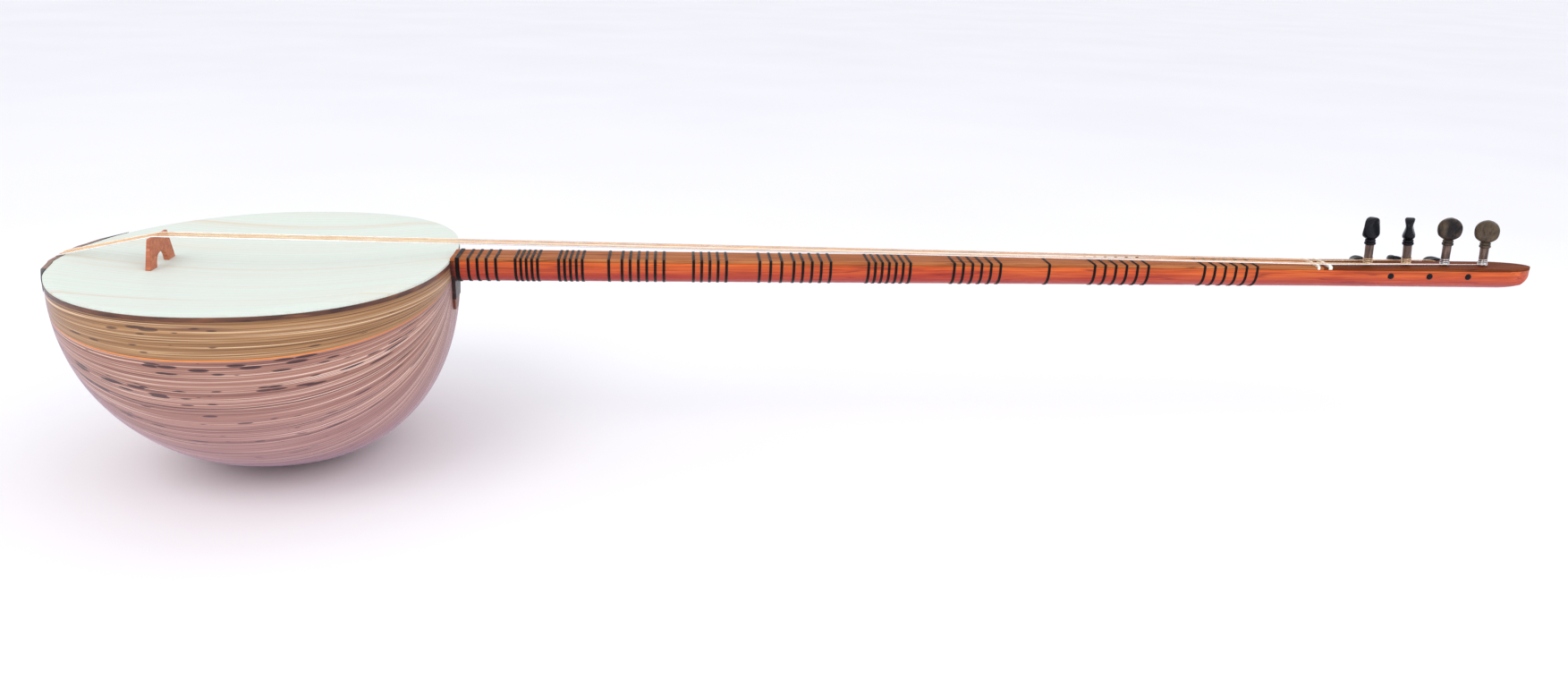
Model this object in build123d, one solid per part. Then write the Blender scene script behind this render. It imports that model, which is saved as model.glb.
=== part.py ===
from build123d import *
from math import cos, pi, radians, sin, sqrt, tan
import os

# A long-necked lute: a round ribbed bowl with a dished soundboard, a slim fretted
# neck that runs straight on into the head, seven tuning pegs and seven strings.
# Millimetres. +X runs along the neck to the head, +Z is normal to the soundboard,
# and the origin is the lowest point of the bowl's outside.

# ---- bowl -------------------------------------------------------------------
BOWL_SIDE = 173.5        # half width of the bowl
BOWL_TAIL = 161.0        # from the widest point back to the tail
BOWL_NECK = 151.5        # from the widest point forward to the neck
TAIL_POWER = 2.0         # the tail half of the outline is an ellipse
NECK_POWER = 2.4         # the neck half is fuller, with a flatter end
BOWL_DROP = 160.0        # depth of the rounded part
WALL_HEIGHT = 15.4       # upright wall between the rounded part and the rim
RIB_THICK = 3.0
RIB_COUNT = 13
TOP_SEAM_DEG = 7.0       # the first seam, below the bowl's long axis
LIGHT_SEAM = 1.5         # width of the pale stringing under the top ribs
DARK_SEAM = 0.5          # width of the other glue lines
RIM_Z = BOWL_DROP + WALL_HEIGHT

# ---- rim and soundboard -----------------------------------------------------
BOARD_THICK = 2.0
BAND_HEIGHT = 3.5
BAND_PROUD = 0.4
LINING_WIDTH = 2.4
LINING_HEIGHT = 10.0
DISH_DEPTH = 11.5        # the board sinks under the bridge's load
DISH_MARGIN = 6.5        # flat ledge left round the dish

# ---- neck, in its own frame: u along the neck, w up from the playing face ----
JOINT_X = 157.0          # where the neck's own frame starts
FACE_RISE = 2.4          # playing face above the rim, at the joint
NECK_TILT_DEG = 0.228    # the neck falls away a little towards the head
HALF_AT_JOINT = 16.5
HALF_AT_NUT = 14.6
DEPTH_AT_JOINT = 22.9
DEPTH_AT_NUT = 20.4
SIDE_PART = 0.3          # share of the depth that is upright side
FINGERBOARD_THICK = 2.5
NUT_U = 757.6            # first nut
NUT_GAP = 11.0           # from the first nut to the second
NUT_CHEEK = 0.9          # thickness of the bone where it turns down the sides
NUT_CHEEK_DROP = 1.8
NUT_WIDTHS = (2.1, 3.0)
TIP_U = 968.6
NOSE_LENGTH = 44.0       # plan taper at the head's tip
CHIN_LENGTH = 52.0       # curve under the head's tip

# ---- frets --------------------------------------------------------------------
FRET_SCALE = 1020.0      # the length that the frets are spaced on
FRET_ZERO_U = 765.1
COMMAS = 53              # commas in an octave
TIE_WIDTH = 2.3
TIE_THICK = 0.6
ROOT_BAND_WIDTH = 3.4
ROOT_BAND_THICK = 0.9
ROOT_BAND_U = 0.6
# first comma, last comma and number of ties of each group, from the nut down
TIE_GROUPS = (
    ("fret_ties_1", ((5.0, 9.0, 6), (13.5, 18.0, 6))),
    ("fret_ties_2", ((22.0, 22.0, 1), (26.5, 31.0, 6), (35.5, 40.0, 7))),
    ("fret_ties_3", ((44.3, 48.7, 5), (50.2, 53.0, 3), (57.4, 62.0, 5))),
    ("fret_ties_4", ((66.4, 73.0, 6), (75.2, 75.2, 1), (79.8, 84.1, 5))),
    ("fret_ties_5", ((88.2, 92.7, 5), (96.9, 103.2, 4))),
)

# ---- bridge -------------------------------------------------------------------
BRIDGE_X = -88.0
BRIDGE_TOP = 16.8        # above the rim
BRIDGE_FOOT_HALF = 26.0
BRIDGE_TOP_HALF = 18.0
BRIDGE_FOOT_THICK = 4.4
BRIDGE_TOP_THICK = 2.2
ARCH_HALF = 12.5
ARCH_HEIGHT = 11.0       # above the board
BRIDGE_BOARD_DROP = 8.2  # the board under the bridge, below the rim
FOOT_GAP = 0.05          # clear of the board, so that the bridge can slide

# ---- tail ---------------------------------------------------------------------
STRIP_THICK = 4.0
STRIP_HEIGHT = 11.0
STRIP_HALF = 50.0        # half length of the wooden middle, across the tail
STRIP_END = 78.0         # where its dark ends stop
STRIP_END_THICK = 0.9    # the dark ends thin out to this
PIN_RADIUS = 1.1
PIN_DROP = 7.0           # pins below the rim
PIN_PITCH = 3.4

# ---- heel ---------------------------------------------------------------------
HEEL_THICK = 3.2
HEEL_TIP_THICK = 2.4
HEEL_TOP_HALF = 14.0
HEEL_STEP_HALF = 11.0
HEEL_TIP_HALF = 8.0
HEEL_STEP_DROP = 35.0
HEEL_TIP_DROP = 45.5

# ---- pegs ---------------------------------------------------------------------
PEG_PITCH = 37.0
FIRST_TOP_PEG_U = 811.7
FIRST_SIDE_PEG_U = 830.3
SIDE_PEG_DROP = 8.4      # side pegs below the playing face
SIDE_LEAN_DEG = 6.5      # their heads lean towards the tip
SIDE_DIP_DEG = 2.0       # and a little down
TOP_LEAN_DEG = (-3.8, -5.9, -2.4, -4.0)
TOP_SPIN_DEG = (28.0, 56.0, -34.0, -38.0)
SIDE_SPIN_DEG = (6.0, 26.0, -5.0)
SHANK_TIP_R = 2.75
SHANK_FACE_R = 3.5
SHANK_COLLAR_R = 3.7
TOP_SHANK_OUT = (18.6, 18.8, 18.8, 17.0)  # shank between the wood and the collar
SIDE_SHANK_OUT = 18.6
COLLAR_R = 4.9
COLLAR_HEIGHT = 5.0
PEG_HEAD_HEIGHT = 20.0
PEG_HEAD_HALF = 10.2
PEG_GAP = 0.05           # running clearance of a shank in its hole
WINDING_R = 4.5
WINDING_LOW = 0.5
WINDING_HEIGHT = 3.2

# ---- strings --------------------------------------------------------------------
# radius, side step at the bridge, side step at the nut, from the near side across
STRINGS = (
    (0.30, -9.0, -11.0),
    (0.30, -7.0, -9.0),
    (0.42, -3.4, -6.7),
    (0.34, -1.2, -4.85),
    (0.42, 3.2, 2.0),
    (0.34, 5.6, 6.0),
    (0.30, 9.0, 9.0),
)
NUT_TOP = 1.9            # string rest above the playing face
BEND_REACH = 1.0         # from a bend's corner to where its arc starts
STRING_GAP = 0.06        # clear of bridge, nuts and tail strip
STRING_END_GAP = 0.15    # clear of its winding

NEAR = 0.01              # smallest working clearance
FAR = 400.0              # larger than the whole body


def neck_frame():
    return Location((JOINT_X, 0, RIM_Z + FACE_RISE), (0, NECK_TILT_DEG, 0))


def closed_face(*curves):
    """A face inside curves that meet end to end."""
    edges = [edge for curve in curves for edge in curve.edges()]
    return make_face(Wire(edges))


# ---- outline of the bowl --------------------------------------------------------
def outline_point(angle, inset):
    """A point of the half outline: angle 0 is the neck end, pi the tail end."""
    toward_neck = angle < pi / 2
    power = NECK_POWER if toward_neck else TAIL_POWER
    reach = (BOWL_NECK if toward_neck else BOWL_TAIL) - inset
    x = abs(cos(angle)) ** (2 / power) * reach
    y = abs(sin(angle)) ** (2 / power) * (BOWL_SIDE - inset)
    return (x if toward_neck else -x, y)


def half_outline(inset):
    steps = 18
    points = [(BOWL_NECK - inset, 0)]
    points += [outline_point(pi * i / steps, inset) for i in range(1, steps)]
    points.append((inset - BOWL_TAIL, 0))
    return Spline(*points, tangents=[(0, 1), (0, -1)])


def half_face(inset):
    curve = half_outline(inset)
    return closed_face(curve, Line(curve @ 1, curve @ 0))


def plan_prism(inset, low, high):
    """The whole outline, inset, between two heights measured from the rim."""
    half = extrude(Pos(0, 0, RIM_Z + low) * half_face(inset), high - low, dir=(0, 0, 1))
    return half + mirror(half, about=Plane.XZ)


# ---- bowl -----------------------------------------------------------------------
def turned(face, start_deg, sweep_deg):
    """Turn a half face about the long axis, from start_deg below the near side."""
    flat = Rot(180 + start_deg, 0, 0) * face
    solid = revolve(flat, Axis.X, sweep_deg)
    squeezed = scale(solid, by=(1, 1, BOWL_DROP / BOWL_SIDE))
    return Pos(0, 0, BOWL_DROP) * squeezed


def shell_face():
    return half_face(0) - half_face(RIB_THICK)


def bowl_body(inset):
    """The bowl as one solid lump, its surface set in by inset."""
    round_part = turned(half_face(inset), 0, 180)
    return round_part + plan_prism(inset, -WALL_HEIGHT, 0)


def wall_half(side):
    ring = plan_prism(0, -WALL_HEIGHT, -BOARD_THICK - BAND_HEIGHT)
    ring -= plan_prism(RIB_THICK, -WALL_HEIGHT - 1, 0)
    return ring & (Pos(0, side * FAR / 2, RIM_Z) * Box(2 * FAR, FAR, FAR))


def rib_edges():
    """Start and end angle of each rib, with half of each seam left out."""
    step = (180 - 2 * TOP_SEAM_DEG) / (RIB_COUNT - 2)
    seams = [TOP_SEAM_DEG + i * step for i in range(RIB_COUNT - 1)]
    last = len(seams) - 1
    halves = [(LIGHT_SEAM if i in (0, last) else DARK_SEAM) / 2 / BOWL_SIDE * 180 / pi
              for i in range(len(seams))]
    starts = [0] + [s + h for s, h in zip(seams, halves)]
    ends = [s - h for s, h in zip(seams, halves)] + [180]
    return seams, halves, starts, ends


def bowl_nodes():
    seams, halves, starts, ends = rib_edges()
    face = shell_face()
    nodes = {}
    for i in range(RIB_COUNT):
        rib = turned(face, starts[i], ends[i] - starts[i])
        if i == 0:
            rib += wall_half(-1)
        if i == RIB_COUNT - 1:
            rib += wall_half(1)
        nodes[f"rib_{i + 1:02d}"] = rib
    strips = [turned(face, s - h, 2 * h) for s, h in zip(seams, halves)]
    nodes["light_seam_near"] = strips[0]
    nodes["light_seam_far"] = strips[-1]
    nodes["dark_seams"] = Compound(children=strips[1:-1])
    return nodes


# ---- soundboard -------------------------------------------------------------------
def half_dish(raise_by):
    """The far half of the lens of air that the board sinks away from."""
    reach_x = (BOWL_TAIL + BOWL_NECK) / 2 - DISH_MARGIN
    reach_y = BOWL_SIDE - DISH_MARGIN
    middle_x = (BOWL_NECK - BOWL_TAIL) / 2
    ball = (reach_y ** 2 + DISH_DEPTH ** 2) / (2 * DISH_DEPTH)
    low = (0, -DISH_DEPTH)
    edge = (reach_y, 0)
    curve = RadiusArc(low, edge, -ball)
    profile = Plane.XZ * closed_face(curve, Line(edge, (0, 0)), Line((0, 0), low))
    lens = scale(revolve(profile, Axis.Z, 180), by=(reach_x / reach_y, 1, 1))
    return Pos(middle_x, 0, RIM_Z + raise_by) * lens


def dish(raise_by):
    half = half_dish(raise_by)
    return half + mirror(half, about=Plane.XZ)


def soundboard_nodes():
    plate = extrude(Pos(0, 0, RIM_Z - BOARD_THICK) * half_face(0), BOARD_THICK, dir=(0, 0, 1))
    far_board = plate + half_dish(-BOARD_THICK) - half_dish(0)
    band = plan_prism(-BAND_PROUD, -BOARD_THICK - BAND_HEIGHT, -BOARD_THICK)
    band -= plan_prism(RIB_THICK, -FAR / 4, 0)
    lining = plan_prism(RIB_THICK, -BOARD_THICK - LINING_HEIGHT, -BOARD_THICK)
    lining -= plan_prism(RIB_THICK + LINING_WIDTH, -FAR / 4, 0)
    return {
        "soundboard_near": mirror(far_board, about=Plane.XZ),
        "soundboard_far": far_board,
        "rim_band": band,
        "rim_lining": lining,
    }


# ---- end blocks inside the bowl ------------------------------------------------------
def block_nodes():
    hollow = bowl_body(RIB_THICK + NEAR)
    below_lining = -BOARD_THICK - LINING_HEIGHT - NEAR
    neck_block = Pos(BOWL_NECK - 20, 0, RIM_Z + below_lining - 22) * Box(40, 60, 44)
    tail_block = Pos(-BOWL_TAIL + 12, 0, RIM_Z + below_lining - 18) * Box(24, 70, 36)
    return {
        "neck_block": neck_block & hollow,
        "tail_block": tail_block & hollow,
    }


# ---- tail strip and pins -----------------------------------------------------------
def across_box(low_y, high_y):
    """A box over the tail half of the body, between two side steps."""
    return Pos(-FAR / 2, (low_y + high_y) / 2, RIM_Z) * Box(FAR, high_y - low_y, FAR)


def tail_edge(y, out):
    """How far back the tail's outline is at a side step y, when set out by out."""
    return -(BOWL_TAIL + out) * sqrt(1 - (y / (BOWL_SIDE + out)) ** 2)


def thinning_prism():
    """Everything inside a line that closes on the rim from the strip's end."""
    start = (tail_edge(STRIP_HALF, STRIP_THICK), -STRIP_HALF)
    stop = (tail_edge(STRIP_END, STRIP_END_THICK), -STRIP_END)
    corners = (start, stop, (0, -STRIP_END), (0, -STRIP_HALF))
    base = Pos(0, 0, RIM_Z - FAR / 8) * make_face(Polyline(*corners, close=True))
    return extrude(base, FAR / 4, dir=(0, 0, 1))


def pin_places():
    middle = (len(STRINGS) - 1) / 2
    return [PIN_PITCH * (i - middle) for i in range(len(STRINGS))]


def tail_nodes(string_tools):
    ring = plan_prism(-STRIP_THICK, -STRIP_HEIGHT, 0.3)
    ring -= plan_prism(-BAND_PROUD - NEAR, -FAR / 4, FAR / 4)
    strip = ring & across_box(-STRIP_HALF, STRIP_HALF)
    near_end = ring & across_box(-STRIP_END, -STRIP_HALF - NEAR) & thinning_prism()
    far_end = mirror(near_end, about=Plane.XZ)
    pins = []
    for y in pin_places():
        pin = Pos(-BOWL_TAIL - STRIP_THICK, y, RIM_Z - PIN_DROP) * Rot(0, -90, 0) * Cylinder(PIN_RADIUS, 6)
        cap_spot = Pos(-BOWL_TAIL - STRIP_THICK - 3, y, RIM_Z - PIN_DROP)
        cap = cap_spot * Rot(0, -90, 0) * Cylinder(PIN_RADIUS * 1.4, 1)
        pins.append(pin + cap)
    for pin in pins:
        strip -= pin
    for tool in string_tools:
        strip -= tool
    return {
        "tail_strip": strip,
        "tail_ends": Compound(children=[near_end, far_end]),
        "string_pins": Compound(children=pins),
    }


# ---- heel ----------------------------------------------------------------------------
def heel_outline(points):
    outline = [(-y, z) for y, z in reversed(points)]
    return make_face(Polyline(*points, *outline, close=True))


def heel_nodes(neck_body):
    lump = bowl_body(0)
    cap_points = [(HEEL_TOP_HALF, RIM_Z - BOARD_THICK - BAND_HEIGHT - NEAR),
                  (HEEL_STEP_HALF, RIM_Z - HEEL_STEP_DROP)]
    tip_points = [(HEEL_STEP_HALF - 1, RIM_Z - HEEL_STEP_DROP - NEAR),
                  (HEEL_TIP_HALF, RIM_Z - HEEL_TIP_DROP + 3),
                  (HEEL_TIP_HALF - 3, RIM_Z - HEEL_TIP_DROP)]
    cap_tool = Plane.YZ * heel_outline(cap_points)
    tip_tool = Plane.YZ * heel_outline(tip_points)
    cap = (bowl_body(-HEEL_THICK) - lump) & extrude(cap_tool, FAR, dir=(1, 0, 0))
    tip = (bowl_body(-HEEL_TIP_THICK) - lump) & extrude(tip_tool, FAR, dir=(1, 0, 0))
    return {"heel_cap": cap - neck_body, "heel_tip": tip}


# ---- neck ------------------------------------------------------------------------------
def section_size(u):
    share = min(max(u / NUT_U, -1), 1)
    half = HALF_AT_JOINT + (HALF_AT_NUT - HALF_AT_JOINT) * share
    depth = DEPTH_AT_JOINT + (DEPTH_AT_NUT - DEPTH_AT_JOINT) * share
    return half, depth


def section_plane(u):
    return Plane(origin=(u, 0, 0), x_dir=(0, 1, 0), z_dir=(1, 0, 0))


def section(u, grow=0.0, top=0.0):
    """The neck's cross-section at u: flat top, upright sides and a round back."""
    half, depth = section_size(u)
    side = depth * SIDE_PART
    wide = half + grow
    lid = grow + top
    back = EllipticalCenterArc((0, -side), wide, depth - side + grow, start_angle=180, arc_size=180)
    rest = Polyline((wide, -side), (wide, lid), (-wide, lid), (-wide, -side))
    return section_plane(u) * closed_face(back, rest)


def slab_section(u):
    half, depth = section_size(u)
    thick = FINGERBOARD_THICK
    corners = ((-half, 0), (half, 0), (half, -thick), (-half, -thick))
    return section_plane(u) * make_face(Polyline(*corners, close=True))


def neck_wood():
    """Neck and head in one length, up to the glue line under the fingerboard."""
    end = section(NUT_U, top=-FINGERBOARD_THICK)
    return loft([section(-20, top=-FINGERBOARD_THICK), end]) + extrude(end, TIP_U - NUT_U, dir=(1, 0, 0))


def side_tool():
    """Everything behind the curve under the tip, seen from the side."""
    deep = DEPTH_AT_NUT + 1
    curve = EllipticalCenterArc((TIP_U - CHIN_LENGTH, -3), CHIN_LENGTH, deep - 3, 270, arc_size=90)
    rest = Polyline(curve @ 1, (TIP_U, 5), (-FAR, 5), (-FAR, -2 * deep), (TIP_U - CHIN_LENGTH, -2 * deep),
                    curve @ 0)
    face = Plane.XZ * closed_face(curve, rest)
    return extrude(face, FAR / 4, both=True)


def nose_tool():
    """Everything behind the rounded tip, seen from above."""
    wide = HALF_AT_NUT + 1
    curve = EllipticalCenterArc((TIP_U - NOSE_LENGTH, 0), NOSE_LENGTH, wide, -90, arc_size=180)
    rest = Polyline(curve @ 1, (TIP_U - NOSE_LENGTH, FAR / 4), (-FAR, FAR / 4), (-FAR, -FAR / 4),
                    (TIP_U - NOSE_LENGTH, -FAR / 4), curve @ 0)
    return extrude(closed_face(curve, rest), FAR / 4, both=True)


def neck_nodes(peg_tools, string_tools):
    cut_u = NUT_U + NUT_GAP / 2
    wood = neck_wood() & side_tool() & nose_tool()
    board = loft([slab_section(-20), slab_section(NUT_U)])
    board += extrude(slab_section(NUT_U), cut_u - NUT_U, dir=(1, 0, 0))
    plate = extrude(slab_section(NUT_U), TIP_U - cut_u, dir=(1, 0, 0))
    plate = (Pos(NUT_GAP / 2, 0, 0) * plate) & side_tool() & nose_tool()
    for tool in peg_tools:
        wood -= tool
        plate -= tool
    frame = neck_frame()
    clear = plan_prism(-BAND_PROUD - NEAR, -FAR / 4, FAR / 4) + bowl_body(0)
    nodes = {
        "neck": frame * wood - clear,
        "fingerboard": frame * board - clear,
        "head_plate": frame * plate,
    }
    nodes["nut_first"] = frame * nut_strip(NUT_U, NUT_WIDTHS[0], NUT_TOP)
    nodes["nut_second"] = frame * nut_strip(NUT_U + NUT_GAP, NUT_WIDTHS[1], NUT_TOP - 0.15)
    for name in ("nut_first", "nut_second"):
        for tool in string_tools:
            nodes[name] -= tool
    return nodes


def nut_strip(u, width, top):
    """A bone strip across the face that turns down a little way over both sides."""
    half, depth = section_size(u)
    saddle = extrude(section(u - width / 2, NUT_CHEEK), width, dir=(1, 0, 0))
    saddle += Pos(u, 0, top / 2) * Box(width, 2 * half - 1, top)
    saddle -= extrude(section(u - width, 0.0), 2 * width, dir=(1, 0, 0))
    keep = Pos(u, 0, FAR / 2 - NUT_CHEEK_DROP) * Box(2 * width, FAR, FAR)
    return saddle & keep


# ---- fret ties ---------------------------------------------------------------------------
def ring(u, width, thick):
    hoop = extrude(section(u - width / 2, thick), width, dir=(1, 0, 0))
    return hoop - extrude(section(u - width, NEAR), 2 * width, dir=(1, 0, 0))


def tie_u(comma):
    return FRET_ZERO_U - FRET_SCALE * (1 - 2 ** (-comma / COMMAS))


def fret_nodes():
    frame = neck_frame()
    nodes = {}
    for name, groups in TIE_GROUPS:
        ties = []
        for first, last, count in groups:
            step = (last - first) / max(count - 1, 1)
            for i in range(count):
                ties.append(frame * ring(tie_u(first + i * step), TIE_WIDTH, TIE_THICK))
        nodes[name] = Compound(children=ties)
    nodes["root_band"] = frame * ring(ROOT_BAND_U, ROOT_BAND_WIDTH, ROOT_BAND_THICK)
    return nodes


# ---- bridge --------------------------------------------------------------------------------
def bridge_node(string_tools):
    foot = -DISH_DEPTH
    half_thick = BRIDGE_FOOT_THICK / 2
    top_thick = BRIDGE_TOP_THICK / 2
    apex = -BRIDGE_BOARD_DROP + ARCH_HEIGHT
    arch = Spline((ARCH_HALF, foot), (0, apex), (-ARCH_HALF, foot), tangents=[(-0.1, 1), (-0.1, -1)])
    rest = Polyline(arch @ 1, (-BRIDGE_FOOT_HALF - 0.8, foot), (-BRIDGE_TOP_HALF, BRIDGE_TOP),
                    (BRIDGE_TOP_HALF, BRIDGE_TOP), (BRIDGE_FOOT_HALF + 0.8, foot), arch @ 0)
    face = Plane.YZ * closed_face(arch, rest)
    plate = extrude(face, half_thick, both=True)
    wedge = Plane.XZ * make_face(Polyline((-half_thick, foot), (half_thick, foot), (top_thick, BRIDGE_TOP),
                                          (-top_thick, BRIDGE_TOP), close=True))
    plate = plate & extrude(wedge, FAR / 4, both=True)
    plate = Pos(BRIDGE_X, 0, RIM_Z) * plate
    above = Pos(0, 0, RIM_Z + FAR / 2) * Box(2 * FAR, 2 * FAR, FAR)
    plate = (plate & above) + (plate & dish(FOOT_GAP))
    for tool in string_tools:
        plate -= tool
    return {"bridge": plate}


# ---- pegs ------------------------------------------------------------------------------------
def peg_head():
    """The thumb piece: a round face seen one way, a waisted edge seen the other."""
    top = PEG_HEAD_HEIGHT
    side = PEG_HEAD_HALF
    slim_places = ((5.4, 0.18), (3.0, 0.6), (4.0, 0.88))
    face = Spline((COLLAR_R - 1, 0), (side * 0.93, top * 0.3), (side, top * 0.5),
                  (side * 0.82, top * 0.8), (0, top),
                  (-side * 0.82, top * 0.8), (-side, top * 0.5), (-side * 0.93, top * 0.3), (1 - COLLAR_R, 0))
    face = closed_face(face, Line(face @ 1, face @ 0))
    out = [(half, top * share) for half, share in slim_places]
    back = [(-half, height) for half, height in reversed(out)]
    edge = Spline((COLLAR_R - 1, -NEAR), *out, (0, top + 1), *back, (1 - COLLAR_R, -NEAR))
    edge = closed_face(edge, Line(edge @ 1, edge @ 0))
    wide = extrude(Plane.XZ * face, FAR / 16, both=True)
    slim = extrude(Plane.YZ * edge, FAR / 16, both=True)
    return wide & slim


def shank_profile(depth, out):
    """Half section of the tapered shank, from its tip to the height out."""
    points = [(0, -depth), (SHANK_TIP_R, -depth), (SHANK_FACE_R, 0), (SHANK_COLLAR_R, out), (0, out)]
    return Plane.XZ * make_face(Polyline(*points, close=True))


def peg_shape(depth, out):
    shank = revolve(shank_profile(depth, out), Axis.Z)
    bead = COLLAR_HEIGHT / 2
    collar = Pos(0, 0, out + bead / 2) * Cylinder(COLLAR_R, bead)
    collar += Pos(0, 0, out + bead * 1.5) * Cylinder(COLLAR_R - 0.6, bead)
    return shank + collar + Pos(0, 0, out + COLLAR_HEIGHT) * peg_head()


def peg_hole(depth):
    slope = (SHANK_FACE_R - SHANK_TIP_R) / depth
    past = 3.0
    points = [(0, -depth - past), (SHANK_TIP_R + PEG_GAP - slope * past, -depth - past),
              (SHANK_FACE_R + PEG_GAP, 0), (SHANK_FACE_R + PEG_GAP, past), (0, past)]
    return revolve(Plane.XZ * make_face(Polyline(*points, close=True)), Axis.Z)


def winding_shape(out):
    tube = Pos(0, 0, WINDING_LOW + WINDING_HEIGHT / 2) * Cylinder(WINDING_R, WINDING_HEIGHT)
    return tube - revolve(shank_profile(1, out), Axis.Z)


def peg_places():
    """Each peg's number, its frame without spin, its spin, its depth in the wood and its height out of it."""
    places = []
    for i, (lean, spin, out) in enumerate(zip(TOP_LEAN_DEG, TOP_SPIN_DEG, TOP_SHANK_OUT)):
        spot = Pos(FIRST_TOP_PEG_U + i * PEG_PITCH, 0, 0) * Rot(0, lean, 0)
        places.append((4 - i, spot, spin, DEPTH_AT_NUT - 0.9, out))
    for i, spin in enumerate(SIDE_SPIN_DEG):
        spot = Pos(FIRST_SIDE_PEG_U + i * PEG_PITCH, HALF_AT_NUT, -SIDE_PEG_DROP)
        spot = spot * Rot(0, 0, -SIDE_LEAN_DEG) * Rot(-90 - SIDE_DIP_DEG, 0, 0)
        places.append((7 - i, spot, spin, 2 * HALF_AT_NUT + 0.8, SIDE_SHANK_OUT))
    return places


def peg_nodes():
    frame = neck_frame()
    nodes = {}
    for number, spot, spin, depth, out in peg_places():
        nodes[f"peg_{number}"] = frame * spot * Rot(0, 0, spin) * peg_shape(depth, out)
        nodes[f"winding_{number}"] = frame * spot * winding_shape(out)
    return nodes


def peg_tools():
    return [spot * peg_hole(depth) for number, spot, spin, depth, out in peg_places()]


# ---- strings -------------------------------------------------------------------------------------
def string_route(number):
    """The bends of a string, from its pin over the tail, bridge and nuts to its peg."""
    radius, at_bridge, at_nut = STRINGS[number - 1]
    frame = neck_frame()
    pin_y = pin_places()[number - 1]
    tail_x = -BOWL_TAIL - STRIP_THICK
    route = [
        Vector(tail_x - radius - 0.35, pin_y, RIM_Z - PIN_DROP + PIN_RADIUS + 0.15),
        Vector(tail_x - radius - 0.2, pin_y, RIM_Z + 0.3 + radius),
        Vector(BRIDGE_X, at_bridge, RIM_Z + BRIDGE_TOP + radius / 2),
    ]
    rest = NUT_TOP + radius / 2
    local = [(NUT_U, at_nut, rest), (NUT_U + NUT_GAP, at_nut, rest - 0.15)]
    if number <= 4:
        u = FIRST_TOP_PEG_U + (4 - number) * PEG_PITCH
        y = -(WINDING_R + radius + STRING_END_GAP)
        local.append((u - 0.5, y, WINDING_LOW + WINDING_HEIGHT / 2))
    else:
        u = FIRST_SIDE_PEG_U + (7 - number) * PEG_PITCH
        over = HALF_AT_NUT + radius + 0.1
        local.append((u - 24, over, radius + 0.25))
        local.append((u - 0.5, HALF_AT_NUT + WINDING_LOW + WINDING_HEIGHT / 2,
                      -SIDE_PEG_DROP + WINDING_R + radius + STRING_END_GAP))
    route += [(frame * Pos(*p)).position for p in local]
    return radius, route


def bend_radii(route):
    """The same short stretch of arc on both sides of every bend, however slight."""
    radii = []
    for a, b, c in zip(route, route[1:], route[2:]):
        turn = radians((b - a).get_angle(c - b))
        radii.append(BEND_REACH / tan(turn / 2))
    return radii


def string_tube(number, grow=0.0):
    radius, route = string_route(number)
    path = FilletPolyline(*route, radius=bend_radii(route))
    start = Plane(origin=route[0], z_dir=route[1] - route[0])
    return sweep(start * Circle(radius + grow), path)


def string_nodes():
    return {f"string_{i + 1}": string_tube(i + 1) for i in range(len(STRINGS))}


# ---- everything ------------------------------------------------------------------------------------
def build():
    tools = [string_tube(i + 1, STRING_GAP) for i in range(len(STRINGS))]
    nodes = {}
    nodes.update(bowl_nodes())
    nodes.update(soundboard_nodes())
    nodes.update(block_nodes())
    nodes.update(tail_nodes(tools))
    nodes.update(neck_nodes(peg_tools(), tools))
    bar = neck_frame() * extrude(section(-20), 60, dir=(1, 0, 0))
    nodes.update(heel_nodes(bar))
    nodes.update(fret_nodes())
    nodes.update(bridge_node(tools))
    nodes.update(peg_nodes())
    nodes.update(string_nodes())
    return nodes


os.makedirs("parts", exist_ok=True)
for name, shape in build().items():
    export_step(shape, f"parts/{name}.step")
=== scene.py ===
from math import cos, pi, radians, sin, sqrt

import bmesh
import bpy
from mathutils import Matrix, Vector


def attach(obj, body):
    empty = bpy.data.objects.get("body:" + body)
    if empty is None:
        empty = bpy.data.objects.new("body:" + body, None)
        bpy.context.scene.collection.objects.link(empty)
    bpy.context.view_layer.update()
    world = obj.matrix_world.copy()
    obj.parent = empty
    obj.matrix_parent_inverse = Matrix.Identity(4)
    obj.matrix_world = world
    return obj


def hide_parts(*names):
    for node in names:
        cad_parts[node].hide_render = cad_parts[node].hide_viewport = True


# Looks for a long-necked lute: a ribbed bowl, a dished pale soundboard, a fretted neck,
# seven pegs and seven strings. Metres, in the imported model's own frame: +X along the neck
# to the head, +Z normal to the soundboard, with Z = 0 at the lowest point of the bowl.

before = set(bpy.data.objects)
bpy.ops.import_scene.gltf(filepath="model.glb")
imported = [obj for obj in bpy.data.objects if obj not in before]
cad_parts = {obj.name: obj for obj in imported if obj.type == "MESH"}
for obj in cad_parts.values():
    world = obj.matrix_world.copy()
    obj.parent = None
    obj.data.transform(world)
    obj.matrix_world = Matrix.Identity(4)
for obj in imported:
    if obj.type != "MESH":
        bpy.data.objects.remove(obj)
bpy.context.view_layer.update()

MM = 0.001
RIM_Z = 175.4 * MM                  # top edge of the bowl
AXIS_Z = 160.0 * MM                 # height of the bowl's long axis
BOWL_R = 173.5 * MM                 # half the bowl's width
FLATTEN = 173.5 / 160.0             # the round part is a little shallower than wide
RIB_COUNT = 13
FLECKED_RIBS = (2, 3, 11, 12)       # those with the most dark flecks
TAIL_X = -161.0 * MM                # outside of the rim at the tail

# the neck's own frame: u along it, w up from the playing face
NECK_X = 157.0 * MM
NECK_Z = 177.8 * MM
NECK_SLOPE = 0.00398                # fall per length towards the head
NECK = Matrix.Translation((NECK_X, 0, NECK_Z)) @ Matrix.Rotation(radians(0.228), 4, "Y")
NUT_U = 757.6 * MM
CORNER_R = 0.7 * MM                 # rounding of the neck's top edges

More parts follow.
